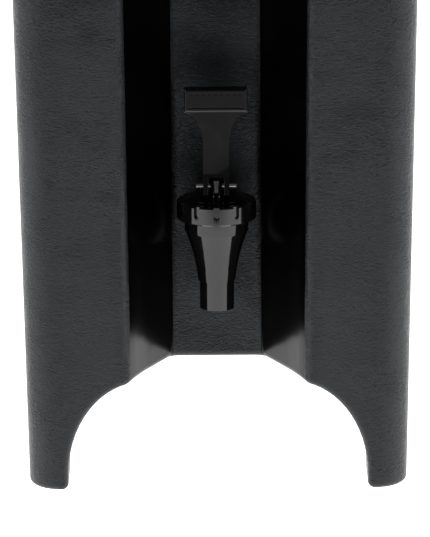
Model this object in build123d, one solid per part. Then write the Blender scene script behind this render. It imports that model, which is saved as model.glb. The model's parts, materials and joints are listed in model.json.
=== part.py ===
from build123d import *
import os
from math import cos, pi, radians, sin

# Insulated drinks carrier: a foam-filled double-wall body on four moulded legs, a lift-off
# lid held by two latches, and a self-closing lever faucet in a recess at the front.
# Millimetres. Z is up, -Y is the front, and the origin is on the floor under the middle.

# Overall size, taken over the lid
carrier_width = 229.0
carrier_depth = 419.0
carrier_height = 616.0

# Body outside
rim_z = 525.0
lid_overhang = 1.5          # how far the lid stands past the rim on each side
side_draft = 8.5            # how far each wall leans in from the rim down to the floor
skin = 4.5                  # thickness of the moulded skin
corner_radius = 18.0
arch_z = 61.8               # height of the underside
leg_width = 22.0            # across X, at the floor
leg_depth = 45.0            # across Y, at the floor
arch_reach = 42.0           # how far the leg flares before it meets the underside
arch_spring_z = 8.0         # height at which the flare starts
leg_corner_radius = 8.0
arch_edge_radius = 4.0
rim_radius = 3.0
foot_radius = 3.5

# Front recess
recess_front_width = 99.5
recess_back_width = 49.0
recess_depth = 52.0
recess_top_z = 430.0
recess_corner_radius = 6.0
recess_lip_radius = 6.0

# Hand pockets, front and back
pocket_width = 128.0
pocket_bottom_z = 448.0
pocket_opening = 34.0
pocket_depth = 38.0
pocket_bar = 17.0           # thickness of the bar that the fingers curl behind
pocket_hook = 16.0          # height of the finger space behind the bar
pocket_radius = 12.0
pocket_lip_radius = 4.0

# Tank
tank_half_width = 84.0
tank_back_wall = 50.0       # from the outer wall at the rim to the tank
tank_front_wall = 25.0      # from the recess back wall to the tank
floor_thickness = 57.2
tank_corner_radius = 22.0

# Faucet, measured about its upright axis and its horizontal shank
faucet_setback = 27.0       # from the front wall to the faucet's upright axis
shank_height = 20.0         # shank axis above the tank floor
shank_radius = 9.5
shank_bore = 6.5
shank_clearance = 0.5
flange_radius = 17.0
flange_thickness = 4.0
washer_thickness = 3.0
washer_radius = 17.0
nut_across_flats = 31.0
nut_thickness = 9.0
shank_tail = 3.0
spout_radius = 9.5
spout_length = 16.0
spout_bore = 6.5
cone_height = 28.5
cone_foot_radius = 10.4     # the cone ends in a small step above the spout
cone_waist_radius = 11.8    # pulls the cone's side slightly hollow
collar_radius = 17.5
collar_height = 6.4
collar_over_shank = 0.5     # collar top above the top of the shank
neck_radius = 16.0
neck_height = 5.0           # threaded neck above the collar
chamber_radius = 9.5
seat_drop = 12.0            # valve seat below the shank axis
bonnet_radius = 21.8
bonnet_height = 10.0
bonnet_gap = 0.2
bonnet_roof = 4.0
bonnet_dome = 1.2
boss_radius = 14.0
notch_count = 12
notch_width = 3.2
notch_depth = 1.6
notch_height = 6.4
bonnet_chamfer = 0.6
gasket_clearance = 0.5      # bonnet gasket inside the neck's outer wall
gasket_margin = 1.5         # bonnet gasket outside the chamber
thread_clearance = 0.3

# Valve stem and spring
stem_radius = 3.5
stem_clearance = 0.4
stem_shoulder_radius = 6.0
stem_shoulder = 2.0
stem_tip_radius = 2.5
cup_radius = 8.0
cup_height = 6.0
cup_socket = 4.0
spring_radius = 5.2
spring_wire = 1.0
spring_turns = 6.0
spring_end_gap = 0.15
cup_edge_radius = 1.0

# Handle
pin_radius = 1.5
pin_half_length = 11.2
pin_running_clearance = 0.05
pin_chamfer = 0.3
heel_height = 6.0           # pin axis to the flat of the heel
heel_gap = 0.3
cam_rise = 4.0              # lift of the stem per radian of tilt
handle_travel = 50.0        # degrees
cam_overrun = 4.0           # degrees of cam past the end of the travel
cam_points = 7
fork_half_width = 7.15
fork_slot_half_width = 4.4
fork_slot_height = 5.6
arm_thickness = 6.4
arm_root = 2.0              # how far the fork's side profile runs up into the arm
heel_back = 3.6             # flat of the heel behind the pin
neck_top = 25.4             # above the pin
flare_height = 16.5
paddle_width = 34.5
paddle_height = 13.0
paddle_thickness = 8.0
paddle_border = 2.2
paddle_recess = 0.9
paddle_rib_count = 9
paddle_rib_width = 1.1
paddle_rib_sink = 0.2       # rib faces below the paddle's border
paddle_edge_radius = 1.2

# Lid
lid_height = 75.0
lid_gap = 0.5
lid_draft = 3.0
lid_corner_radius = 20.0
lid_edge_radius = 9.0
plug_depth = 26.0
plug_clearance = 2.0
gasket_width = 9.0
gasket_thickness = 3.0
lid_panel_drop = 3.0
lid_panel_border = 34.0
stack_clearance = 2.5
stack_depth = 3.0

# Vent
vent_y = 30.0
vent_bore = 9.0
vent_cap_radius = 24.0
vent_cap_skirt = 4.0
vent_stem_clearance = 0.35
vent_stem_length = 15.0
vent_gasket_thickness = 2.0
vent_gasket_width = 5.0
vent_grip_width = 9.0
vent_grip_inset = 4.0       # grip bar ends inside the cap's edge
vent_disc_height = 7.6
vent_disc_radius = 3.0
vent_grip_radius = 1.5

# Latches, one on each long side
latch_bay_width = 54.0
latch_bay_depth = 15.0
latch_bay_bottom_z = 436.0
latch_bay_top_z = 578.0
lever_width = 32.0
lever_thickness = 4.0
lever_pivot_z = 468.0
lever_pivot_out = 9.0       # pivot axis out from the bay floor
lever_top_z = 566.0
lever_eye_radius = 5.0
latch_pin_radius = 2.0
ear_thickness = 5.0
ear_clearance = 0.4
bracket_plate = 2.5
bracket_foot = 4.0          # bracket plate below the screw heads
keeper_z = 541.0            # underside of the ledge on the lid that the latch hooks over
keeper_height = 9.0
keeper_depth = 5.5
keeper_width = 30.0
hook_height = 8.0
hook_reach = 4.5
lever_lip = 2.0
hook_clearance = 0.9
hook_side_gap = 0.4
screw_radius = 2.0
screw_length = 11.0
screw_head_radius = 3.8
screw_head_height = 1.8
screw_spacing = 18.0
screw_head_radius_top = 0.8
screw_cross_length = 4.4
screw_cross_width = 0.9
screw_cross_depth = 0.7
screw_to_eye = 4.0          # screw heads below the lever's eye

# Foam filling
plug_hole_radius = 14.0
fill_from_recess = 90.0     # front fill hole behind the recess
fill_from_flare = 33.5      # back fill hole in front of the back legs' flare
lid_fill_from_back = 50.0   # lid fill hole in front of the back of the tank
foam_gap_at_foot = 10.0

# Positions that follow from the sizes above
rim_half_width = carrier_width / 2 - lid_overhang
rim_half_depth = carrier_depth / 2 - lid_overhang
foot_half_width = rim_half_width - side_draft
foot_half_depth = rim_half_depth - side_draft
tank_floor_z = arch_z + floor_thickness
shank_z = tank_floor_z + shank_height


def half_width_at(z):
    return foot_half_width + side_draft * z / rim_z


def half_depth_at(z):
    return foot_half_depth + side_draft * z / rim_z


front_y = -half_depth_at(shank_z)
recess_back_y = front_y + recess_depth
faucet_y = front_y + faucet_setback
tank_front_y = recess_back_y + tank_front_wall
tank_back_y = rim_half_depth - tank_back_wall
tank_middle_y = (tank_front_y + tank_back_y) / 2
collar_top_z = shank_z + shank_radius + collar_over_shank
collar_z = collar_top_z - collar_height
cone_z = collar_z - cone_height
spout_z = cone_z - spout_length
neck_top_z = collar_top_z + neck_height
bonnet_z = collar_top_z + bonnet_gap
bonnet_rim_z = bonnet_z + bonnet_height
boss_z = bonnet_rim_z + bonnet_dome
roof_z = bonnet_rim_z - bonnet_roof
seat_z = shank_z - seat_drop
shoulder_z = seat_z + cup_height
pin_z = boss_z + heel_gap + heel_height
lid_z = rim_z + lid_gap
lid_top_z = rim_z + lid_height
plug_bottom_z = rim_z - plug_depth
bay_floor_x = rim_half_width - latch_bay_depth
lever_x = bay_floor_x + lever_pivot_out
keeper_x = bay_floor_x + keeper_depth
screw_z = lever_pivot_z - lever_eye_radius - screw_head_radius - screw_to_eye
flare_y = foot_half_depth - leg_depth - arch_reach
body_fill_places = [(0, recess_back_y + fill_from_recess), (0, flare_y - fill_from_flare)]
lid_fill_place = (0, tank_back_y - lid_fill_from_back)


def tapered_block(lower, upper, bottom, top, radius):
    """A block with leaning walls: lower and upper are half sizes, with rounded corners."""
    base = Plane.XY.offset(bottom) * Rectangle(2 * lower[0], 2 * lower[1])
    roof = Plane.XY.offset(top) * Rectangle(2 * upper[0], 2 * upper[1])
    block = loft([base, roof], ruled=True)
    upright = [e for e in block.edges() if abs(e.tangent_at(0.5).Z) > 0.9]
    return fillet(upright, radius)


def upright_edges(shape, points, reach=1.0):
    """The upright edges of a shape that pass near any of the given (x, y) points."""
    found = []
    for edge in shape.edges():
        middle = edge.position_at(0.5)
        if abs(edge.tangent_at(0.5).Z) < 0.9:
            continue
        if any(abs(middle.X - x) < reach and abs(middle.Y - y) < reach for x, y in points):
            found.append(edge)
    return found


def tunnel_profile(half_span, grow):
    """The arch under the body, drawn on X and Y of a sketch: flat top, flared ends."""
    spring = arch_spring_z
    reach = arch_reach + grow
    rise = arch_z - arch_spring_z + grow
    centre = half_span - arch_reach
    outer = centre + reach
    lines = [
        Line((-centre, spring + rise), (centre, spring + rise)),
        EllipticalCenterArc((centre, spring), reach, rise, 0, arc_size=90),
        Line((outer, spring), (outer, -arch_spring_z)),
        Line((outer, -arch_spring_z), (-outer, -arch_spring_z)),
        Line((-outer, -arch_spring_z), (-outer, spring)),
        EllipticalCenterArc((-centre, spring), reach, rise, 90, arc_size=90),
    ]
    return make_face((Curve() + lines).edges())


def arches(grow=0.0):
    """The two crossing tunnels that leave a leg at each corner."""
    across = tunnel_profile(foot_half_width - leg_width, grow)
    along = tunnel_profile(foot_half_depth - leg_depth, grow)
    front_to_back = extrude(Plane.XZ * across, carrier_depth, both=True)
    side_to_side = extrude(Plane.YZ * along, carrier_width, both=True)
    return front_to_back + side_to_side


def recess(grow=0.0):
    """The tapering bay that the faucet stands in, open at the front and below."""
    slope = (recess_front_width - recess_back_width) / 2 / recess_depth
    past = recess_depth
    front_half = recess_front_width / 2 + slope * past
    back_half = recess_back_width / 2
    outline = make_face(Polyline(
        (-front_half, front_y - past),
        (front_half, front_y - past),
        (back_half, recess_back_y),
        (-back_half, recess_back_y),
        close=True,
    ))
    if grow > 0:
        outline = offset(outline, grow, kind=Kind.INTERSECTION)
    top = recess_top_z + grow
    bay = extrude(outline, top)
    radius = recess_corner_radius + grow
    back_corners = [e for e in bay.edges() if abs(e.tangent_at(0.5).Z) > 0.9
                    and e.position_at(0.5).Y > recess_back_y - 1]
    bay = fillet(back_corners, radius)
    ceiling = [e for e in bay.edges() if e.position_at(0.5).Z > top - 0.01
               and e.position_at(0.5).Y > front_y - past + 1]
    return fillet(ceiling, radius - 1)


def hand_pocket(side, grow=0.0):
    """A finger pocket in the front (-1) or back (+1) wall, hooked upward behind a bar."""
    wall_y = half_depth_at(pocket_bottom_z)
    inner_y = wall_y - pocket_depth - grow
    bar_y = wall_y - pocket_bar + grow
    bottom = pocket_bottom_z - grow
    mouth_top = pocket_bottom_z + pocket_opening + grow
    hook_top = mouth_top + pocket_hook
    profile = Polyline(
        (wall_y + side_draft, bottom),
        (wall_y + side_draft, mouth_top),
        (bar_y, mouth_top),
        (bar_y, hook_top),
        (inner_y, hook_top),
        (inner_y, bottom),
        close=True,
    )
    half = pocket_width / 2 + grow
    pocket = extrude(Plane.YZ * make_face(profile), half, both=True)
    low_ends = [e for e in pocket.edges() if abs(e.tangent_at(0.5).Y) > 0.9
                and abs(e.position_at(0.5).X) > half - 1 and e.position_at(0.5).Z < bottom + 1]
    pocket = fillet(low_ends, pocket_radius + grow)
    return pocket if side > 0 else mirror(pocket, Plane.XZ)


def latch_bay(side, bottom, top, grow=0.0):
    """The upright bay that a latch sits in, on the right (+1) or left (-1) side."""
    depth = carrier_width / 2 - bay_floor_x + grow + lid_overhang
    bay = Box(depth, latch_bay_width + 2 * grow, top - bottom,
              align=(Align.MIN, Align.CENTER, Align.MIN))
    bay = Pos(bay_floor_x - grow, 0, bottom) * bay
    return bay if side > 0 else mirror(bay, Plane.YZ)


def tank(grow=0.0):
    """The space for the drink, open at the top; grown, it is the tank with its skin."""
    width = 2 * (tank_half_width + grow)
    depth = tank_back_y - tank_front_y + 2 * grow
    outline = RectangleRounded(width, depth, tank_corner_radius + grow)
    bottom = tank_floor_z - grow
    place = Pos(0, tank_middle_y, bottom)
    return place * extrude(outline, rim_z - bottom + 1)


def shank_passage(radius):
    """The round way from the recess through the wall into the tank."""
    reach = skin + 1
    length = tank_front_wall + 2 * reach
    middle = (recess_back_y + tank_front_y) / 2
    return Pos(0, middle, shank_z) * Rot(90, 0, 0) * Cylinder(radius, length)


def screw_places(side):
    """Places of the two screws of a latch bracket, on the bay floor."""
    return [(side * bay_floor_x, y, screw_z) for y in (-screw_spacing / 2, screw_spacing / 2)]


def screw_holes(radius):
    """Pilot holes of all four latch screws."""
    places = screw_places(-1) + screw_places(1)
    rods = [Pos(*p) * Rot(0, 90, 0) * Cylinder(radius, 2 * screw_length) for p in places]
    return Part() + rods


def body_block(inset=0.0):
    """The leaning walls of the body with nothing cut away, moved inward by inset."""
    top = rim_z - inset
    low = (foot_half_width - inset, foot_half_depth - inset)
    high = (half_width_at(top) - inset, half_depth_at(top) - inset)
    return tapered_block(low, high, 0, top, corner_radius - inset)


def on_outer_wall(point):
    """Whether a point lies on one of the four leaning outer walls."""
    near = 0.6
    side = abs(abs(point.X) - half_width_at(point.Z)) < near
    end = abs(abs(point.Y) - half_depth_at(point.Z)) < near
    return side or end


def leg_inner_edges(shape):
    """The inside corner edge of each leg, from the floor up the flare."""
    x = foot_half_width - leg_width
    y = foot_half_depth - leg_depth
    found = []
    for edge in shape.edges():
        middle = edge.position_at(0.5)
        inside = abs(middle.X) < x + 1 and abs(middle.Y) < y + 1
        near = abs(middle.X) > x - arch_reach / 2 and abs(middle.Y) > y - arch_reach / 2
        rising = abs(edge.tangent_at(0.5).Z) > 0.5
        if inside and near and rising and middle.Z < arch_z - 1:
            found.append(edge)
    return found


def arch_mouth_edges(shape):
    """The edges where the arches meet the outer walls."""
    found = []
    for edge in shape.edges():
        middle = edge.position_at(0.5)
        if 0.5 < middle.Z < arch_z + 1 and on_outer_wall(middle):
            found.append(edge)
    return found


def rounded_body():
    """The outer form with its recess mouth, legs, arches, feet and rim rounded."""
    body = body_block() - recess()
    lip_x = recess_front_width / 2
    lips = upright_edges(body, [(-lip_x, front_y), (lip_x, front_y)], reach=recess_lip_radius + 2)
    body = fillet(lips, recess_lip_radius) - arches()
    body = fillet(leg_inner_edges(body), leg_corner_radius)
    body = fillet(arch_mouth_edges(body), arch_edge_radius)
    feet = [e for e in body.edges() if e.position_at(0.5).Z < 0.2]
    body = fillet(feet, foot_radius)
    rim = [e for e in body.edges() if e.position_at(0.5).Z > rim_z - 0.2]
    return fillet(rim, rim_radius)


def body_shell():
    """The moulded outer skin: walls, legs, recess, hand pockets and the rim."""
    shell = rounded_body()
    for side in (-1, 1):
        shell -= hand_pocket(side)
        shell -= latch_bay(side, latch_bay_bottom_z, rim_z + 1)
    shell = fillet(pocket_mouth_edges(shell), pocket_lip_radius)
    shell -= body_cavity()
    shell -= tank(skin)
    shell -= shank_passage(shank_radius + shank_clearance)
    shell -= screw_holes(screw_radius)
    return shell - fill_holes()


def tank_liner():
    """The inner skin that holds the drink, welded to the outer skin at the rim."""
    top = Pos(0, 0, rim_z + 5) * Box(2 * carrier_width, 2 * carrier_depth, 10)
    liner = tank(skin) - tank() - top
    return liner - shank_passage(shank_radius + shank_clearance)


def pocket_mouth_edges(shape):
    """The edges where the hand pockets open through the front and back walls."""
    found = []
    for edge in shape.edges():
        middle = edge.position_at(0.5)
        above = middle.Z > pocket_bottom_z - 1
        below = middle.Z < pocket_bottom_z + pocket_opening + 1
        at_end = abs(middle.X) < pocket_width / 2 + 1 and abs(middle.Y) > foot_half_depth
        if above and below and at_end:
            found.append(edge)
    return found


def body_cavity():
    """The closed space between the outer skin and the tank skin."""
    space = body_block(skin) - arches(skin) - recess(skin)
    space -= Box(carrier_width, carrier_depth, 2 * foam_gap_at_foot)
    space -= tank(skin)
    space -= shank_passage(shank_radius + shank_clearance + skin)
    for side in (-1, 1):
        space -= hand_pocket(side, skin)
        space -= latch_bay(side, latch_bay_bottom_z - skin, rim_z + 1, skin)
    return space


def fill_holes():
    """Holes in the underside that the foam is poured through."""
    holes = [Pos(x, y, arch_z + skin / 2) * Cylinder(plug_hole_radius, skin)
             for x, y in body_fill_places]
    return Part() + holes


def body_foam():
    """The foam that fills the body's wall."""
    return body_cavity() - screw_holes(screw_radius)


def faucet_profile():
    """Outer half section of the faucet body, radius against height."""
    lines = [
        Line((0, spout_z), (spout_radius, spout_z)),
        Line((spout_radius, spout_z), (spout_radius, cone_z)),
        Line((spout_radius, cone_z), (cone_foot_radius, cone_z)),
        Bezier((cone_foot_radius, cone_z), (cone_waist_radius, cone_z + cone_height / 2),
               (collar_radius, collar_z)),
        Line((collar_radius, collar_z), (collar_radius, collar_top_z)),
        Line((collar_radius, collar_top_z), (neck_radius, collar_top_z)),
        Line((neck_radius, collar_top_z), (neck_radius, neck_top_z)),
        Line((neck_radius, neck_top_z), (0, neck_top_z)),
        Line((0, neck_top_z), (0, spout_z)),
    ]
    return make_face((Curve() + lines).edges())


def faucet_body():
    """The moulded valve body: collar, cone and spout, with the shank behind it."""
    upright = revolve(Plane.XZ * faucet_profile(), Axis.Z)
    tail_y = tank_front_y + washer_thickness + nut_thickness + shank_tail
    shank = along_shank(shank_radius, faucet_y, tail_y)
    flange_front = recess_back_y - washer_thickness - flange_thickness
    flange = along_shank(flange_radius, flange_front, flange_front + flange_thickness)
    # the flange is flat on top, level with the collar, so that the bonnet can turn over it
    flange -= Pos(0, flange_front, collar_top_z) * Box(
        2 * flange_radius, 4 * flange_thickness, flange_radius,
        align=(Align.CENTER, Align.CENTER, Align.MIN))
    body = Pos(0, faucet_y, 0) * upright + shank + flange
    chamber = Pos(0, faucet_y, seat_z) * Cylinder(
        chamber_radius, neck_top_z - seat_z + 1, align=(Align.CENTER, Align.CENTER, Align.MIN))
    outlet = Pos(0, faucet_y, spout_z - 1) * Cylinder(
        spout_bore, seat_z - spout_z + 2, align=(Align.CENTER, Align.CENTER, Align.MIN))
    return body - chamber - outlet - along_shank(shank_bore, faucet_y, tail_y + 1)


def along_shank(radius, start_y, end_y):
    """A rod on the shank axis from start_y to end_y."""
    rod = Cylinder(radius, end_y - start_y)
    return Pos(0, (start_y + end_y) / 2, shank_z) * Rot(90, 0, 0) * rod


def shank_washer(outside):
    """The sealing washer on the recess side (outside) or the tank side of the wall."""
    start = recess_back_y - washer_thickness if outside else tank_front_y
    ring = along_shank(washer_radius, start, start + washer_thickness)
    return ring - along_shank(shank_radius, start - 1, start + washer_thickness + 1)


def shank_nut():
    """The hexagon nut that clamps the faucet from inside the tank."""
    start = tank_front_y + washer_thickness
    across_corners = nut_across_flats / cos(pi / 6) / 2
    hexagon = extrude(RegularPolygon(across_corners, 6), nut_thickness)
    nut = Pos(0, start + nut_thickness, shank_z) * Rot(90, 0, 0) * hexagon
    return nut - along_shank(shank_radius, start - 1, start + nut_thickness + 1)


def notch():
    """One grip notch of the bonnet, cut down from the rim, with a round lower end."""
    half = notch_width / 2
    low = bonnet_rim_z - notch_height + half
    depth = 2 * notch_depth
    slot = Pos(bonnet_radius, 0, low) * Box(
        depth, notch_width, notch_height + bonnet_dome,
        align=(Align.CENTER, Align.CENTER, Align.MIN))
    foot = Pos(bonnet_radius, 0, low) * Rot(0, 90, 0) * Cylinder(half, depth)
    return slot + foot


def faucet_bonnet():
    """The screw cap of the faucet, with notches round its rim and a flat boss on top."""
    cap = Pos(0, 0, bonnet_z) * Cylinder(
        bonnet_radius, bonnet_height, align=(Align.CENTER, Align.CENTER, Align.MIN))
    cap = chamfer(cap.edges().filter_by(GeomType.CIRCLE), bonnet_chamfer)
    dome = Pos(0, 0, bonnet_rim_z) * Cone(
        boss_radius + bonnet_dome * 3, boss_radius, bonnet_dome,
        align=(Align.CENTER, Align.CENTER, Align.MIN))
    cap += dome
    for turn in range(notch_count):
        cap -= Rot(0, 0, turn * 360 / notch_count) * notch()
    thread = Pos(0, 0, bonnet_z) * Cylinder(
        neck_radius + thread_clearance, roof_z - bonnet_z,
        align=(Align.CENTER, Align.CENTER, Align.MIN))
    bore = Pos(0, 0, roof_z) * Cylinder(stem_radius + stem_clearance, 4 * bonnet_roof)
    return Pos(0, faucet_y, 0) * (cap - thread - bore)


def ring(outer, inner, bottom, height):
    """A flat ring on the faucet's upright axis."""
    low = (Align.CENTER, Align.CENTER, Align.MIN)
    solid = Cylinder(outer, height, align=low)
    solid -= Pos(0, 0, -1) * Cylinder(inner, height + 2, align=low)
    return Pos(0, faucet_y, bottom) * solid


def bonnet_gasket():
    """The flat gasket between the faucet's neck and the bonnet."""
    outer = neck_radius - gasket_clearance
    inner = chamber_radius + gasket_margin
    return ring(outer, inner, neck_top_z, roof_z - neck_top_z)


def seat_cup():
    """The silicone cup that closes on the valve seat."""
    low = (Align.CENTER, Align.CENTER, Align.MIN)
    cup = Cylinder(cup_radius, cup_height, align=low)
    cup = fillet(cup.edges().sort_by(Axis.Z)[:1], cup_edge_radius)
    socket = Pos(0, 0, cup_height - cup_socket) * Cylinder(stem_tip_radius, cup_socket, align=low)
    return Pos(0, faucet_y, seat_z) * (cup - socket)


def valve_stem():
    """The rod that carries the seat cup, with a shoulder for the spring and a pin hole."""
    low = (Align.CENTER, Align.CENTER, Align.MIN)
    top = pin_z + stem_radius
    tip = Pos(0, 0, shoulder_z - cup_socket) * Cylinder(stem_tip_radius, cup_socket, align=low)
    shoulder = Pos(0, 0, shoulder_z) * Cylinder(stem_shoulder_radius, stem_shoulder, align=low)
    rod = Pos(0, 0, shoulder_z) * Cylinder(stem_radius, top - shoulder_z, align=low)
    hole = Pos(0, 0, pin_z) * Rot(0, 90, 0) * Cylinder(pin_radius, 4 * stem_radius)
    return Pos(0, faucet_y, 0) * (tip + shoulder + rod - hole)


def faucet_spring():
    """The closing spring between the bonnet and the stem's shoulder."""
    start = shoulder_z + stem_shoulder + spring_wire / 2 + spring_end_gap
    end = roof_z - spring_wire / 2 - spring_end_gap
    pitch = (end - start) / spring_turns
    path = Helix(pitch, end - start, spring_radius)
    wire = Plane(path @ 0, z_dir=path % 0) * Circle(spring_wire / 2)
    return Pos(0, faucet_y, start) * sweep(wire, path, is_frenet=True)


def handle_pin():
    """The stainless pin through the fork and the stem."""
    rod = Cylinder(pin_radius, 2 * pin_half_length)
    rod = chamfer(rod.edges().filter_by(GeomType.CIRCLE), pin_chamfer)
    return Pos(0, faucet_y, pin_z) * Rot(0, 90, 0) * rod


def cam_point(tilt):
    """Point of the heel that touches the boss at a tilt in radians: y, z from the pin."""
    reach = heel_height + cam_rise * tilt
    y = -reach * sin(tilt) - cam_rise * cos(tilt)
    z = -reach * cos(tilt) + cam_rise * sin(tilt)
    return (y, z)


def heel_profile():
    """Side outline of the fork: flat heel, cam in front, and the arm above."""
    travel = radians(handle_travel + cam_overrun)
    cam = [cam_point(travel * i / (cam_points - 1)) for i in range(cam_points)]
    half_arm = arm_thickness / 2
    back = heel_back
    root = fork_slot_height + arm_root
    lines = [
        Spline(*cam),
        Line(cam[-1], (-half_arm, root)),
        Line((-half_arm, root), (half_arm, root)),
        Line((half_arm, root), (half_arm, 0)),
        Line((half_arm, 0), (back, -back)),
        Line((back, -back), (back, -heel_height)),
        Line((back, -heel_height), cam[0]),
    ]
    return make_face((Curve() + lines).edges())


def arm_outline():
    """Front outline of the arm: straight neck, hollow flares and the paddle."""
    half = fork_half_width
    wide = paddle_width / 2
    foot = fork_slot_height
    shoulder = neck_top + flare_height
    lines = [
        Line((-half, foot), (half, foot)),
        Line((half, foot), (half, neck_top)),
        EllipticalCenterArc((wide, neck_top), wide - half, flare_height, 90, arc_size=90),
        Line((wide, shoulder), (wide, shoulder + paddle_height)),
        Line((wide, shoulder + paddle_height), (-wide, shoulder + paddle_height)),
        Line((-wide, shoulder + paddle_height), (-wide, shoulder)),
        EllipticalCenterArc((-wide, neck_top), wide - half, flare_height, 0, arc_size=90),
        Line((-half, neck_top), (-half, foot)),
    ]
    return make_face((Curve() + lines).edges())


def faucet_handle():
    """The tilting handle: fork with cam heel, neck and paddle."""
    fork = extrude(Plane.YZ * heel_profile(), fork_half_width, both=True)
    slot_top = fork_slot_height
    slot = Pos(0, 0, slot_top) * Box(
        2 * fork_slot_half_width, 8 * heel_height, slot_top + 2 * heel_height,
        align=(Align.CENTER, Align.CENTER, Align.MAX))
    arm = extrude(Plane.XZ * arm_outline(), arm_thickness / 2, both=True)
    shoulder = neck_top + flare_height
    paddle = Pos(0, 0, shoulder + paddle_height / 2) * Box(
        paddle_width, paddle_thickness, paddle_height)
    paddle = fillet(paddle.edges(), paddle_edge_radius)
    handle = fork + arm + paddle - slot
    face_y = -paddle_thickness / 2
    panel = Box(paddle_width - 2 * paddle_border, 2 * paddle_recess,
                paddle_height - 2 * paddle_border)
    middle_z = shoulder + paddle_height / 2
    handle -= Pos(0, face_y, middle_z) * panel
    rib_span = paddle_width - 2 * paddle_border - 3 * paddle_rib_width
    for i in range(paddle_rib_count):
        x = rib_span * (i / (paddle_rib_count - 1) - 0.5)
        rib = Box(paddle_rib_width, 2 * paddle_recess, paddle_height - 3 * paddle_border)
        handle += Pos(x, face_y + paddle_rib_sink + paddle_recess, middle_z) * rib
    hole = Rot(0, 90, 0) * Cylinder(pin_radius + pin_running_clearance, 4 * fork_half_width)
    return Pos(0, faucet_y, pin_z) * (handle - hole)


def lid_outside(inset=0.0):
    """The outer form of the lid with its plug, moved inward by inset."""
    low = (carrier_width / 2 - inset, carrier_depth / 2 - inset)
    high = (low[0] - lid_draft, low[1] - lid_draft)
    bottom = lid_z + inset
    block = tapered_block(low, high, bottom, lid_top_z - inset, lid_corner_radius - inset)
    block = fillet(block.faces().sort_by(Axis.Z)[-1].edges(), lid_edge_radius - inset)
    plug_width = 2 * (tank_half_width - plug_clearance - inset)
    plug_length = tank_back_y - tank_front_y - 2 * (plug_clearance + inset)
    outline = RectangleRounded(plug_width, plug_length, tank_corner_radius - plug_clearance - inset)
    plug_low = plug_bottom_z + inset
    plug = Pos(0, tank_middle_y, plug_low) * extrude(outline, bottom - plug_low + 1)
    return block + plug


def lid_panel(grow=0.0):
    """The shallow sunk panel on top of the lid, and a footprint for each leg of a carrier above."""
    width = carrier_width - 2 * lid_panel_border + 2 * grow
    depth = carrier_depth - 2 * (leg_depth + lid_panel_border / 2) + 2 * grow
    drop = lid_panel_drop + grow
    low = (Align.CENTER, Align.CENTER, Align.MIN)
    sunk = Pos(0, 0, lid_top_z - drop) * extrude(
        RectangleRounded(width, depth, tank_corner_radius), 2 * drop)
    foot_x = foot_half_width - leg_width / 2
    foot_y = foot_half_depth - leg_depth / 2
    size = (leg_width + 2 * (stack_clearance + grow), leg_depth + 2 * (stack_clearance + grow))
    for x in (-foot_x, foot_x):
        for y in (-foot_y, foot_y):
            step = stack_depth + grow
            print_of_foot = extrude(RectangleRounded(*size, leg_corner_radius), 2 * step)
            sunk += Pos(x, y, lid_top_z - step) * print_of_foot
    return sunk


def vent_passage(radius):
    """The upright way through the lid under the vent cap."""
    tall = lid_top_z - plug_bottom_z + 20
    return Pos(0, vent_y, (lid_top_z + plug_bottom_z) / 2) * Cylinder(radius, tall)


def keeper(side):
    """The ledge in the lid's latch bay that the latch hooks over."""
    ledge = Box(keeper_depth + 1, keeper_width, keeper_height,
                align=(Align.MIN, Align.CENTER, Align.MIN))
    ledge = Pos(bay_floor_x - 1, 0, keeper_z) * ledge
    return ledge if side > 0 else mirror(ledge, Plane.YZ)


def gasket_ring(thickness):
    """The flat ring round the plug, resting on the rim of the tank."""
    width = 2 * (tank_half_width - plug_clearance)
    depth = tank_back_y - tank_front_y - 2 * plug_clearance
    radius = tank_corner_radius - plug_clearance
    outer = RectangleRounded(width + 2 * gasket_width, depth + 2 * gasket_width,
                             radius + gasket_width)
    inner = RectangleRounded(width, depth, radius)
    return Pos(0, tank_middle_y, rim_z) * extrude(outer - inner, thickness)


def lid_cavity():
    """The closed space inside the lid's skin."""
    space = lid_outside(skin) - lid_panel(skin) - vent_passage(vent_bore + skin)
    space -= gasket_ring(gasket_thickness + skin)
    for side in (-1, 1):
        space -= latch_bay(side, rim_z, latch_bay_top_z + skin, skin)
    return space


def lid_shell():
    """The moulded skin of the lid with its plug, latch bays and keepers."""
    shell = lid_outside() - lid_panel() - vent_passage(vent_bore)
    shell -= gasket_ring(gasket_thickness)
    for side in (-1, 1):
        shell -= latch_bay(side, rim_z - 1, latch_bay_top_z)
        shell += keeper(side)
    shell -= lid_cavity()
    return shell - lid_fill_hole()


def lid_fill_hole():
    """The hole in the plug's underside that the foam is poured through."""
    x, y = lid_fill_place
    return Pos(x, y, plug_bottom_z + skin / 2) * Cylinder(plug_hole_radius, skin)


def vent_gasket():
    """The ring that seals the vent cap on the lid."""
    low = (Align.CENTER, Align.CENTER, Align.MIN)
    solid = Cylinder(vent_bore + vent_gasket_width, vent_gasket_thickness, align=low)
    solid -= Cylinder(vent_bore, 4 * vent_gasket_thickness)
    return Pos(0, vent_y, lid_top_z - lid_panel_drop) * solid


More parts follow.
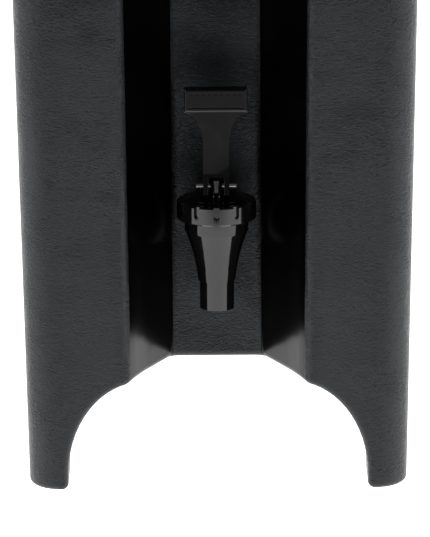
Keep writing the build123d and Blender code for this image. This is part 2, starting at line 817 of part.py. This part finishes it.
def vent_cap():
    """The screw cap of the air vent, with a raised grip bar and a stem down the vent."""
    low = (Align.CENTER, Align.CENTER, Align.MIN)
    base = lid_top_z - lid_panel_drop + vent_gasket_thickness
    disc = Pos(0, 0, base) * Cylinder(vent_cap_radius, vent_disc_height, align=low)
    disc = fillet(disc.edges().sort_by(Axis.Z)[-1:], vent_disc_radius)
    grip_length = 2 * (vent_cap_radius - vent_grip_inset)
    grip_height = carrier_height - base
    grip = Pos(0, 0, base) * extrude(
        SlotOverall(grip_length, vent_grip_width), grip_height)
    grip = fillet(grip.faces().sort_by(Axis.Z)[-1].edges(), vent_grip_radius)
    stem = Pos(0, 0, base) * Cylinder(
        vent_bore - vent_stem_clearance, vent_stem_length,
        align=(Align.CENTER, Align.CENTER, Align.MAX))
    hollow = Pos(0, 0, base - vent_stem_length) * Cylinder(
        vent_bore - vent_cap_skirt, vent_stem_length, align=low)
    return Pos(0, vent_y, 0) * (disc + grip + stem - hollow)


def latch_bracket():
    """The right-hand latch bracket: a plate on the bay floor with two ears."""
    ear_half = lever_width / 2 + ear_clearance
    outer_half = ear_half + ear_thickness
    bottom = screw_z - screw_head_radius - bracket_foot
    plate = Pos(bay_floor_x, 0, bottom) * Box(
        bracket_plate, 2 * outer_half, lever_pivot_z - bottom,
        align=(Align.MIN, Align.CENTER, Align.MIN))
    bracket = plate
    for side in (-1, 1):
        profile = Pos(lever_pivot_out, 0) * Circle(lever_eye_radius)
        web = make_face(Polyline(
            (0, -3 * lever_eye_radius), (0, lever_eye_radius),
            (lever_pivot_out, lever_eye_radius), (lever_pivot_out, -lever_eye_radius),
            close=True))
        ear = extrude(Plane.XZ * (web + profile), ear_thickness)
        y = side * (ear_half + ear_thickness / 2) + ear_thickness / 2
        bracket += Pos(bay_floor_x, y, lever_pivot_z) * ear
    hole = Pos(lever_x, 0, lever_pivot_z) * Rot(90, 0, 0) * Cylinder(
        latch_pin_radius, 4 * outer_half)
    bracket -= hole
    for place in screw_places(1):
        bracket -= Pos(*place) * Rot(0, 90, 0) * Cylinder(screw_radius, 4 * bracket_plate)
    return bracket


def latch_pin():
    """The right-hand pivot pin, through both ears and the lever."""
    half = lever_width / 2 + ear_clearance + ear_thickness
    rod = Cylinder(latch_pin_radius, 2 * half)
    return Pos(lever_x, 0, lever_pivot_z) * Rot(90, 0, 0) * rod


def latch_screws():
    """The two right-hand bracket screws."""
    low = (Align.CENTER, Align.CENTER, Align.MIN)
    screws = []
    for x, y, z in screw_places(1):
        shank = Cylinder(screw_radius, screw_length, align=low)
        head = Pos(0, 0, screw_length) * Cylinder(screw_head_radius, screw_head_height, align=low)
        head = fillet(head.edges().sort_by(Axis.Z)[-1:], screw_head_radius_top)
        cross = Pos(0, 0, screw_length + screw_head_height) * (
            Box(screw_cross_length, screw_cross_width, 2 * screw_cross_depth)
            + Box(screw_cross_width, screw_cross_length, 2 * screw_cross_depth))
        foot = x + bracket_plate - screw_length
        screws.append(Pos(foot, y, z) * Rot(0, 90, 0) * (shank + head - cross))
    return Compound(children=screws)


def latch_lever():
    """The right-hand latch lever: eye, plate, hook over the lid's keeper, and a thumb lip."""
    nose = keeper_x + hook_side_gap
    inner = nose + hook_reach
    outer = inner + lever_thickness
    hook_z = keeper_z + keeper_height + hook_clearance
    half = lever_width / 2
    eye = Pos(lever_x, lever_pivot_z) * Circle(lever_eye_radius)
    plate = make_face(Polyline(
        (inner, lever_pivot_z),
        (outer, lever_pivot_z),
        (outer, lever_top_z - 2 * lever_lip),
        (outer + lever_lip, lever_top_z),
        (inner + lever_lip / 2, lever_top_z),
        (inner, lever_top_z - 2 * lever_lip),
        (inner, hook_z + hook_height),
        (nose, hook_z + hook_height / 2),
        (nose, hook_z),
        (inner, hook_z),
        close=True))
    lever = extrude(Plane.XZ * (eye + plate), half, both=True)
    corners = [e for e in lever.edges() if abs(e.tangent_at(0.5).X) > 0.5
               and abs(e.position_at(0.5).Y) > half - 0.01 and e.position_at(0.5).Z > lever_top_z - 0.01]
    lever = fillet(corners, lever_thickness)
    hole = Pos(lever_x, 0, lever_pivot_z) * Rot(90, 0, 0) * Cylinder(
        latch_pin_radius + pin_running_clearance, 4 * half)
    return lever - hole


def plugs(places, bottom):
    """Foam plugs pressed into their holes in a skin."""
    low = (Align.CENTER, Align.CENTER, Align.MIN)
    discs = [Pos(x, y, bottom) * Cylinder(plug_hole_radius, skin, align=low) for x, y in places]
    return Compound(children=discs)


def main():
    os.makedirs("parts", exist_ok=True)
    pieces = {
        "body_shell": body_shell(),
        "tank_liner": tank_liner(),
        "body_foam": body_foam(),
        "body_foam_plugs": plugs(body_fill_places, arch_z),
        "faucet_body": faucet_body(),
        "shank_washer_outer": shank_washer(True),
        "shank_washer_inner": shank_washer(False),
        "shank_nut": shank_nut(),
        "faucet_bonnet": faucet_bonnet(),
        "bonnet_gasket": bonnet_gasket(),
        "seat_cup": seat_cup(),
        "valve_stem": valve_stem(),
        "faucet_spring": faucet_spring(),
        "handle_pin": handle_pin(),
        "faucet_handle": faucet_handle(),
        "lid_shell": lid_shell(),
        "lid_foam": lid_cavity(),
        "lid_foam_plug": plugs([lid_fill_place], plug_bottom_z),
        "lid_gasket": gasket_ring(gasket_thickness),
        "vent_gasket": vent_gasket(),
        "vent_cap": vent_cap(),
    }
    latch = {
        "latch_bracket": latch_bracket(),
        "latch_pin": latch_pin(),
        "latch_screws": latch_screws(),
        "latch_lever": latch_lever(),
    }
    for name, piece in latch.items():
        pieces[name + "_right"] = piece
        pieces[name + "_left"] = mirror(piece, Plane.YZ)
    for name, piece in pieces.items():
        export_step(piece, f"parts/{name}.step")


main()
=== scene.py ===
import bpy
import json
from math import cos, radians, sin
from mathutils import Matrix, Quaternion, Vector


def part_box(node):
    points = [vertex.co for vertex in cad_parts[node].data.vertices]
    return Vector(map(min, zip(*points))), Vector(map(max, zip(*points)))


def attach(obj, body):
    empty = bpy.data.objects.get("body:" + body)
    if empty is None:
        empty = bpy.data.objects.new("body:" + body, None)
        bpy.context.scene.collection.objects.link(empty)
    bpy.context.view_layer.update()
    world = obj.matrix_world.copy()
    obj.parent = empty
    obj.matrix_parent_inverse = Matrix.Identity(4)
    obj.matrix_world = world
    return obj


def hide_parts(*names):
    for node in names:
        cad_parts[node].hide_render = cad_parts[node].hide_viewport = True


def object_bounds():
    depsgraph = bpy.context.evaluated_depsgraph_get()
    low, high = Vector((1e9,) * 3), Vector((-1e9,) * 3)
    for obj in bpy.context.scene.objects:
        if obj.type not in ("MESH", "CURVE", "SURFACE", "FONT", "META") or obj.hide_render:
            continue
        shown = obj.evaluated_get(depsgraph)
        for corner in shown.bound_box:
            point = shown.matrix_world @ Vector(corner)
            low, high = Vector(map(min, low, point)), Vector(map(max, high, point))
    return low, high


for name in ("Cube", "Light", "Camera"):  # the start-up scene's own, which would count in the box
    if name in bpy.data.objects:
        bpy.data.objects.remove(bpy.data.objects[name])

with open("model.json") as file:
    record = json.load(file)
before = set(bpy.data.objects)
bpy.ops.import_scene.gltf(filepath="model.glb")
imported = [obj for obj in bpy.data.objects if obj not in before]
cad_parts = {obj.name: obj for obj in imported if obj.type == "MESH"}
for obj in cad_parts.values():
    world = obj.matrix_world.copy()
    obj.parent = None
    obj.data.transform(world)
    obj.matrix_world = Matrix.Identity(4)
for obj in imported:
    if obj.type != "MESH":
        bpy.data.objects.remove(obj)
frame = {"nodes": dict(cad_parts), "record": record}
nodes = frame["nodes"]
cadLow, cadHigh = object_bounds()
mm = 0.001
bodyOf = {}
for body, members in frame["record"]["behaviour"]["bodies"].items():
    bodyOf.update({member: body for member in members})
slotOf = {part["node"]: part["material_slot"] for part in frame["record"]["subparts"]}
print("frame loaded:", len(nodes), "nodes")


def hexColour(code):
    # sRGB hex to the linear colour that a socket takes
    parts = [int(code[i:i + 2], 16) / 255 for i in (1, 3, 5)]
    linear = [p / 12.92 if p <= 0.04045 else ((p + 0.055) / 1.055) ** 2.4 for p in parts]
    return (*linear, 1.0)


def newMaterial(name, look):
    # a principled shader with the look's plain numbers on its own sockets
    material = bpy.data.materials.new(name)
    material.use_nodes = True
    shader = material.node_tree.nodes["Principled BSDF"]
    shader.inputs["Base Color"].default_value = hexColour(look["colour"])
    shader.inputs["Roughness"].default_value = look["roughness"]
    for socket, value in look.get("shader", {}).items():
        shader.inputs[socket].default_value = value
    return material


def addNode(material, kind, settings=None, inputs=None, feeds=None):
    # one node: its properties, its sockets by value or link, and the shader sockets that it feeds
    tree = material.node_tree
    node = tree.nodes.new(kind)
    for key, value in (settings or {}).items():
        setattr(node, key, value)
    for key, value in (inputs or {}).items():
        if isinstance(value, bpy.types.NodeSocket):
            tree.links.new(value, node.inputs[key])
        else:
            node.inputs[key].default_value = value
    for output, socket in (feeds or {}).items():
        tree.links.new(node.outputs[output], tree.nodes["Principled BSDF"].inputs[socket])
    return node


def patternPlace(material, stretch=(1, 1, 1)):
    # object coordinates, closed up along an axis where the pattern runs long across it
    place = addNode(material, "ShaderNodeTexCoord")
    return addNode(material, "ShaderNodeMapping", inputs={
        "Vector": place.outputs["Object"], "Scale": stretch}).outputs["Vector"]


mouldedSkin = {
    "colour": "#030405", "worn": "#14130f", "roughness": 0.32,
    "shader": {"IOR": 1.5, "Specular IOR Level": 0.34, "Specular Tint": (0.86, 0.93, 1.0, 1.0)},
    "wrinkleMm": 2.9, "gritMm": 0.9, "swellMm": 38.0, "depthMm": 0.6,
}


def makeMouldedSkin():
    # rotationally moulded polyethylene: the etched mould leaves a wrinkled leather grain,
    # which breaks a low sheen into flecks, and slow cooling leaves the wide faces faintly wavy
    look = mouldedSkin
    material = newMaterial("polyethylene_rotomoulded_leather_grain", look)
    place = patternPlace(material, (1.0, 1.0, 1.9))
    wrinkle = addNode(material, "ShaderNodeTexNoise", inputs={
        "Vector": place, "Scale": 1 / (look["wrinkleMm"] * mm), "Detail": 5.0,
        "Roughness": 0.55, "Distortion": 1.4})
    grit = addNode(material, "ShaderNodeTexVoronoi", {"feature": "SMOOTH_F1"}, {
        "Vector": place, "Scale": 1 / (look["gritMm"] * mm), "Smoothness": 0.6})
    swell = addNode(material, "ShaderNodeTexNoise", inputs={
        "Vector": place, "Scale": 1 / (look["swellMm"] * mm), "Detail": 2.0})
    patch = addNode(material, "ShaderNodeMapRange", inputs={
        "Value": swell.outputs["Fac"], "From Min": 0.35, "From Max": 0.65,
        "To Min": 0.45, "To Max": 1.0})
    addNode(material, "ShaderNodeMapRange", inputs={
        "Value": wrinkle.outputs["Fac"], "To Min": look["roughness"] - 0.06,
        "To Max": look["roughness"] + 0.08}, feeds={"Result": "Roughness"})
    addNode(material, "ShaderNodeMix", {"data_type": "RGBA"}, {
        "Factor": wrinkle.outputs["Fac"], 6: hexColour(look["colour"]),
        7: hexColour(look["worn"])}, feeds={2: "Base Color"})
    wavy = addNode(material, "ShaderNodeBump", inputs={
        "Height": swell.outputs["Fac"], "Strength": 0.25, "Distance": 1.2 * mm})
    gritty = addNode(material, "ShaderNodeBump", inputs={
        "Height": grit.outputs["Distance"], "Strength": 0.25,
        "Distance": look["depthMm"] / 2 * mm, "Normal": wavy.outputs["Normal"]})
    addNode(material, "ShaderNodeBump", inputs={
        "Height": wrinkle.outputs["Fac"], "Strength": patch.outputs["Result"],
        "Distance": 2 * look["depthMm"] * mm, "Normal": gritty.outputs["Normal"]},
        feeds={"Normal": "Normal"})
    return material


# the recess side walls' skin: smoother, and darker in colour and sheen as painted shade
smoothSkinWithPaintedShade = {
    "colour": "#010102", "roughness": 0.16, "shader": {"IOR": 1.5, "Specular IOR Level": 0.12},
    "rippleMm": 14.0, "depthMm": 0.5,
}


def makeSmoothSkinWithPaintedShade():
    # the same polyethylene where the mould slides out along the wall and polishes its grain off:
    # smoother, with slow ripples; its darker colour and weaker sheen are painted shade for the
    # recess
    look = smoothSkinWithPaintedShade
    material = newMaterial("polyethylene_drawn_smooth_painted_shade", look)
    ripple = addNode(material, "ShaderNodeTexNoise", inputs={
        "Vector": patternPlace(material, (1.0, 1.0, 0.4)), "Scale": 1 / (look["rippleMm"] * mm),
        "Detail": 4.0})
    addNode(material, "ShaderNodeMapRange", inputs={
        "Value": ripple.outputs["Fac"], "To Min": look["roughness"] - 0.04,
        "To Max": look["roughness"] + 0.1}, feeds={"Result": "Roughness"})
    addNode(material, "ShaderNodeBump", inputs={
        "Height": ripple.outputs["Fac"], "Strength": 0.3, "Distance": look["depthMm"] * mm},
        feeds={"Normal": "Normal"})
    return material


glossMoulding = {
    "colour": "#060607", "roughness": 0.07, "shader": {"IOR": 1.53},
    "smearMm": 7.0, "sinkMm": 0.012,
}


def makeGlossMoulding():
    # ABS from a polished mould: sharp reflections, with handling smears that soften them
    look = glossMoulding
    material = newMaterial("abs_polished_mould_black", look)
    smear = addNode(material, "ShaderNodeTexNoise", inputs={
        "Vector": patternPlace(material), "Scale": 1 / (look["smearMm"] * mm), "Detail": 6.0,
        "Roughness": 0.7})
    addNode(material, "ShaderNodeMapRange", inputs={
        "Value": smear.outputs["Fac"], "From Min": 0.4, "From Max": 0.8,
        "To Min": look["roughness"], "To Max": look["roughness"] + 0.1},
        feeds={"Result": "Roughness"})
    addNode(material, "ShaderNodeBump", inputs={
        "Height": smear.outputs["Fac"], "Strength": 1.0, "Distance": look["sinkMm"] * mm},
        feeds={"Normal": "Normal"})
    return material


pouredFoam = {
    "colour": "#d8c48a", "skin": "#b9a064", "roughness": 0.85, "shader": {"IOR": 1.45},
    "cellMm": 1.1, "depthMm": 0.5,
}


def makePouredFoam():
    # polyurethane foamed in place: open cut cells under a darker, patchy skin
    look = pouredFoam
    material = newMaterial("polyurethane_foam_poured", look)
    place = patternPlace(material)
    cells = addNode(material, "ShaderNodeTexVoronoi", inputs={
        "Vector": place, "Scale": 1 / (look["cellMm"] * mm)})
    patches = addNode(material, "ShaderNodeTexNoise", inputs={
        "Vector": place, "Scale": 1 / (12 * look["cellMm"] * mm), "Detail": 3.0})
    addNode(material, "ShaderNodeMix", {"data_type": "RGBA"}, {
        "Factor": patches.outputs["Fac"], 6: hexColour(look["colour"]),
        7: hexColour(look["skin"])}, feeds={2: "Base Color"})
    addNode(material, "ShaderNodeBump", inputs={
        "Height": cells.outputs["Distance"], "Strength": 0.8,
        "Distance": look["depthMm"] * mm}, feeds={"Normal": "Normal"})
    return material


castSilicone = {
    "colour": "#c9c7bf", "bloom": "#dedcd4", "roughness": 0.48,
    "shader": {"IOR": 1.41, "Subsurface Weight": 0.15, "Subsurface Scale": 0.002},
    "bloomMm": 3.5,
}


def makeCastSilicone():
    # compression-moulded silicone: milky, soft-edged sheen with a powdery bloom
    look = castSilicone
    material = newMaterial("silicone_compression_moulded", look)
    bloom = addNode(material, "ShaderNodeTexNoise", inputs={
        "Vector": patternPlace(material), "Scale": 1 / (look["bloomMm"] * mm), "Detail": 4.0})
    addNode(material, "ShaderNodeMix", {"data_type": "RGBA"}, {
        "Factor": bloom.outputs["Fac"], 6: hexColour(look["colour"]),
        7: hexColour(look["bloom"])}, feeds={2: "Base Color"})
    addNode(material, "ShaderNodeMapRange", inputs={
        "Value": bloom.outputs["Fac"], "To Min": look["roughness"] - 0.08,
        "To Max": look["roughness"] + 0.12}, feeds={"Result": "Roughness"})
    addNode(material, "ShaderNodeBump", inputs={
        "Height": bloom.outputs["Fac"], "Strength": 0.2, "Distance": 0.1 * mm},
        feeds={"Normal": "Normal"})
    return material


drawnStainless = {
    "colour": "#c9c8c4", "roughness": 0.24, "shader": {"Metallic": 1.0},
    "lineMm": 0.35, "depthMm": 0.02,
}


def makeDrawnStainless():
    # stainless wire and rod, drawn through a die: fine scratches that spread its highlights
    look = drawnStainless
    material = newMaterial("stainless_steel_drawn", look)
    lines = addNode(material, "ShaderNodeTexNoise", inputs={
        "Vector": patternPlace(material, (0.15, 1.0, 1.0)), "Scale": 1 / (look["lineMm"] * mm),
        "Detail": 3.0})
    addNode(material, "ShaderNodeMapRange", inputs={
        "Value": lines.outputs["Fac"], "To Min": look["roughness"] - 0.08,
        "To Max": look["roughness"] + 0.14}, feeds={"Result": "Roughness"})
    addNode(material, "ShaderNodeBump", inputs={
        "Height": lines.outputs["Fac"], "Strength": 0.5, "Distance": look["depthMm"] * mm},
        feeds={"Normal": "Normal"})
    return material


sparkedMoulding = {
    "vent_plastic": {
        "name": "polypropylene_spark_eroded_satin", "colour": "#0a0a0b", "fade": "#141416",
        "roughness": 0.38, "shader": {"IOR": 1.49, "Specular IOR Level": 0.4},
        "pitMm": 0.45, "flowMm": 16.0},
    "latch_nylon": {
        "name": "nylon_glass_filled_satin", "colour": "#08080a", "fade": "#1b1b1d",
        "roughness": 0.44, "shader": {"IOR": 1.53, "Specular IOR Level": 0.4},
        "pitMm": 0.7, "flowMm": 6.0},
}


def makeSparkedMoulding(look):
    # injection moulding from a spark-eroded mould: even fine pits give a satin face, and the
    # melt's flow leaves pale streaks, which the glass fibre in the nylon makes stronger
    material = newMaterial(look["name"], look)
    pits = addNode(material, "ShaderNodeTexVoronoi", {"feature": "SMOOTH_F1"}, {
        "Vector": patternPlace(material), "Scale": 1 / (look["pitMm"] * mm)})
    flow = addNode(material, "ShaderNodeTexNoise", inputs={
        "Vector": patternPlace(material, (1.0, 1.0, 0.35)), "Scale": 1 / (look["flowMm"] * mm),
        "Detail": 5.0, "Distortion": 0.8})
    addNode(material, "ShaderNodeMix", {"data_type": "RGBA"}, {
        "Factor": flow.outputs["Fac"], 6: hexColour(look["colour"]),
        7: hexColour(look["fade"])}, feeds={2: "Base Color"})
    addNode(material, "ShaderNodeMapRange", inputs={
        "Value": flow.outputs["Fac"], "To Min": look["roughness"] - 0.07,
        "To Max": look["roughness"] + 0.07}, feeds={"Result": "Roughness"})
    addNode(material, "ShaderNodeBump", inputs={
        "Height": pits.outputs["Distance"], "Strength": 0.35, "Distance": 0.08 * mm},
        feeds={"Normal": "Normal"})
    return material


# the darker recess-wall skin, whose darkness is painted shade
recessSkinPaintedShade = makeSmoothSkinWithPaintedShade()
materials = {
    "body_plastic": makeMouldedSkin(),
    "faucet_plastic": makeGlossMoulding(),
    "foam": makePouredFoam(),
    "silicone": makeCastSilicone(),
    "stainless": makeDrawnStainless(),
    "vent_plastic": makeSparkedMoulding(sparkedMoulding["vent_plastic"]),
    "latch_nylon": makeSparkedMoulding(sparkedMoulding["latch_nylon"]),
}
for name, node in nodes.items():
    for place in node.material_slots:
        place.material = materials[slotOf[name]]
print("materials made:", len(materials) + 1)


def mergedCopy(nodeName, pieceName):
    # a node's mesh as a new piece, with its loose triangles merged
    bpy.ops.object.select_all(action="DESELECT")
    source = nodes[nodeName]
    piece = bpy.data.objects.new(pieceName, source.data.copy())
    piece.data.name = pieceName
    bpy.context.scene.collection.objects.link(piece)
    piece.select_set(True)
    bpy.context.view_layer.objects.active = piece
    bpy.ops.mesh.customdata_custom_splitnormals_clear()
    bpy.ops.object.mode_set(mode="EDIT")
    bpy.ops.mesh.select_all(action="SELECT")
    bpy.ops.mesh.remove_doubles(threshold=0.002 * mm)
    bpy.ops.object.mode_set(mode="OBJECT")
    return piece


def handOver(piece, nodeName):
    # the piece takes the node's body and finish from the record, and the node is hidden
    piece.data.materials.clear()
    piece.data.materials.append(materials[slotOf[nodeName]])
    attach(piece, bodyOf[nodeName])
    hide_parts(nodeName)


def rollEdges(piece, width, segments, turn):
    # a moulded part has no knife edges: each edge past the given turn is rolled over
    bevel = piece.modifiers.new("rolledEdges", "BEVEL")
    bevel.width = width
    bevel.segments = segments
    bevel.limit_method = "ANGLE"
    bevel.angle_limit = radians(turn)
    bevel.miter_outer = "MITER_ARC"
    bpy.ops.object.modifier_apply(modifier=bevel.name)
    bpy.ops.object.shade_smooth_by_angle(angle=radians(turn))
    even = piece.modifiers.new("evenNormals", "WEIGHTED_NORMAL")
    even.keep_sharp = True
    bpy.ops.object.modifier_apply(modifier=even.name)


sharpTurn = 35  # degrees: an edge that turns further than this is rolled
rolled = {  # node: the roll of its edges in mm, and the steps across it
    "faucet_body": (0.5, 3),
    "faucet_bonnet": (0.4, 3),
    "faucet_handle": (0.5, 3),
    "shank_nut": (0.4, 2),
    "valve_stem": (0.25, 2),
    "vent_cap": (0.5, 3),
    "latch_bracket_right": (0.4, 3),
    "latch_bracket_left": (0.4, 3),
    "latch_lever_right": (0.7, 3),
    "latch_lever_left": (0.7, 3),
    "latch_screws_right": (0.12, 2),
    "latch_screws_left": (0.12, 2),
    "latch_pin_right": (0.3, 2),
    "latch_pin_left": (0.3, 2),
}
for nodeName, (width, steps) in rolled.items():
    piece = mergedCopy(nodeName, "finished_" + nodeName)
    rollEdges(piece, width * mm, steps, sharpTurn)
    handOver(piece, nodeName)
    print("edges rolled:", nodeName, len(piece.data.polygons), "faces")


bodySkinLook = {
    "sharpTurn": 30, "lipMm": 12, "cornerMm": 1,  # degrees, and what is left out at each end
    "reachInWashers": 3, "facingAcross": 0.6,
}


def makeBodySkin():
    # the outer skin, with the drawn-smooth finish on the recess's two side walls, darker there as
    # painted shade
    look = bodySkinLook
    skin = mergedCopy("body_shell", "finished_body_skin")
    bpy.ops.object.shade_smooth_by_angle(angle=radians(look["sharpTurn"]))
    handOver(skin, "body_shell")
    skin.data.materials.append(recessSkinPaintedShade)
    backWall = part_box("shank_washer_outer")[1].y
    reach = look["reachInWashers"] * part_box("shank_washer_outer")[1].x
    frontLimit = cadLow.y + look["lipMm"] * mm
    backLimit = backWall - look["cornerMm"] * mm
    for face in skin.data.polygons:
        x, y, z = face.center
        inRecess = frontLimit < y < backLimit and abs(x) < reach
        facesAcross = face.normal.x * x < 0 and abs(face.normal.x) > look["facingAcross"]
        if inRecess and facesAcross:
            # painted shade: the recess's side walls take the darker skin
            face.material_index = 1
    return skin


bodySkin = makeBodySkin()
print("body skin:", len(bodySkin.data.polygons), "faces")

studio = {  # a box that isn't on the paper shows only in reflections
    "floorSize": 30, "floorColour": "#f4f4f4", "world": 0.08,
    "paintedGlowNear": 1.9, "paintedGlowEnd": -0.64, "paintedGlowFade": 0.3, "paintedGlowFar": 0.16,
    "lamps": {
        "overheadSoftbox": {"place": (0, 0.5, 2.0), "target": (0, 0, 0.6),
                            "size": (1.2, 1.2), "watts": 25, "onPaper": False},
        "backgroundSoftbox": {"place": (0, 1.7, 2.4), "target": (0, 1.5, 0),
                              "size": (3.0, 2.4), "watts": 15, "onPaper": True},
        "rightSoftbox": {"place": (1.7, -1.2, 0.9), "target": (0, -0.1, 0.3),
                         "size": (0.9, 1.6), "watts": 28, "onPaper": False},
        "leftSoftbox": {"place": (-1.7, -1.2, 0.9), "target": (0, -0.1, 0.3),
                        "size": (0.9, 1.6), "watts": 28, "onPaper": False},
    },
}


def makePaperWithPaintedGlow():
    # a matt sheet with a painted glow: it glows brightest under and around the object, which
    # paints its cast shadow out, and the glow fades out towards the front
    material = newMaterial("paper_sweep_matt_painted_glow", {
        "colour": studio["floorColour"], "roughness": 0.8,
        "shader": {"Emission Color": (1, 1, 1, 1)}})
    place = addNode(material, "ShaderNodeTexCoord")
    axes = addNode(material, "ShaderNodeSeparateXYZ", inputs={"Vector": place.outputs["Object"]})
    # painted light: the emission is strongest near the object and fades towards the front
    addNode(material, "ShaderNodeMapRange", {"interpolation_type": "SMOOTHSTEP"}, {
        "Value": axes.outputs["Y"], "From Min": studio["paintedGlowEnd"] - studio["paintedGlowFade"],
        "From Max": studio["paintedGlowEnd"], "To Min": studio["paintedGlowFar"],
        "To Max": studio["paintedGlowNear"]}, feeds={"Result": "Emission Strength"})
    return material


def makeStudio():
    # white paper with a painted glow, under soft boxes, which is what the black faces have to
    # mirror
    bpy.ops.object.select_all(action="DESELECT")
    bpy.ops.mesh.primitive_plane_add(size=studio["floorSize"], location=(0, 0, 0))
    floor = bpy.context.object
    floor.name = "studioFloor"
    floor.data.materials.append(makePaperWithPaintedGlow())
    world = bpy.data.worlds.new("studio")
    world.use_nodes = True
    world.node_tree.nodes["Background"].inputs["Color"].default_value = (1, 1, 1, 1)
    world.node_tree.nodes["Background"].inputs["Strength"].default_value = studio["world"]
    bpy.context.scene.world = world
    for name, lamp in studio["lamps"].items():
        data = bpy.data.lights.new(name, "AREA")
        data.shape = "RECTANGLE"
        data.size, data.size_y = lamp["size"]
        data.energy = lamp["watts"]
        box = bpy.data.objects.new(name, data)
        bpy.context.scene.collection.objects.link(box)
        aim = Vector(lamp["target"]) - Vector(lamp["place"])
        box.location = lamp["place"]
        box.rotation_euler = aim.to_track_quat("-Z", "Y").to_euler()
        box.visible_camera = False
        box.visible_diffuse = lamp["onPaper"]


makeStudio()
print("studio lit")

view = {"distance": 2.3, "pitch": 15.3, "roll": -0.4, "heightSeen": 0.2917,
        "aim": (-0.001, cadLow.y + 0.0095, 0.1268)}


def makeCamera():
    # a long lens, a little above the faucet
    data = bpy.data.cameras.new("camera")
    data.sensor_width = 36
    data.lens = data.sensor_width * view["distance"] / view["heightSeen"]
    camera = bpy.data.objects.new("camera", data)
    bpy.context.scene.collection.objects.link(camera)
    pitch = radians(view["pitch"])
    away = Vector((0, -cos(pitch), sin(pitch)))
    camera.location = Vector(view["aim"]) + away * view["distance"]
    facing = (-away).to_track_quat("-Z", "Y")
    camera.rotation_euler = (facing @ Quaternion((0, 0, 1), radians(view["roll"]))).to_euler()
    bpy.context.scene.camera = camera
    bpy.context.scene.view_settings.view_transform = "Standard"


makeCamera()
print("scene ready")
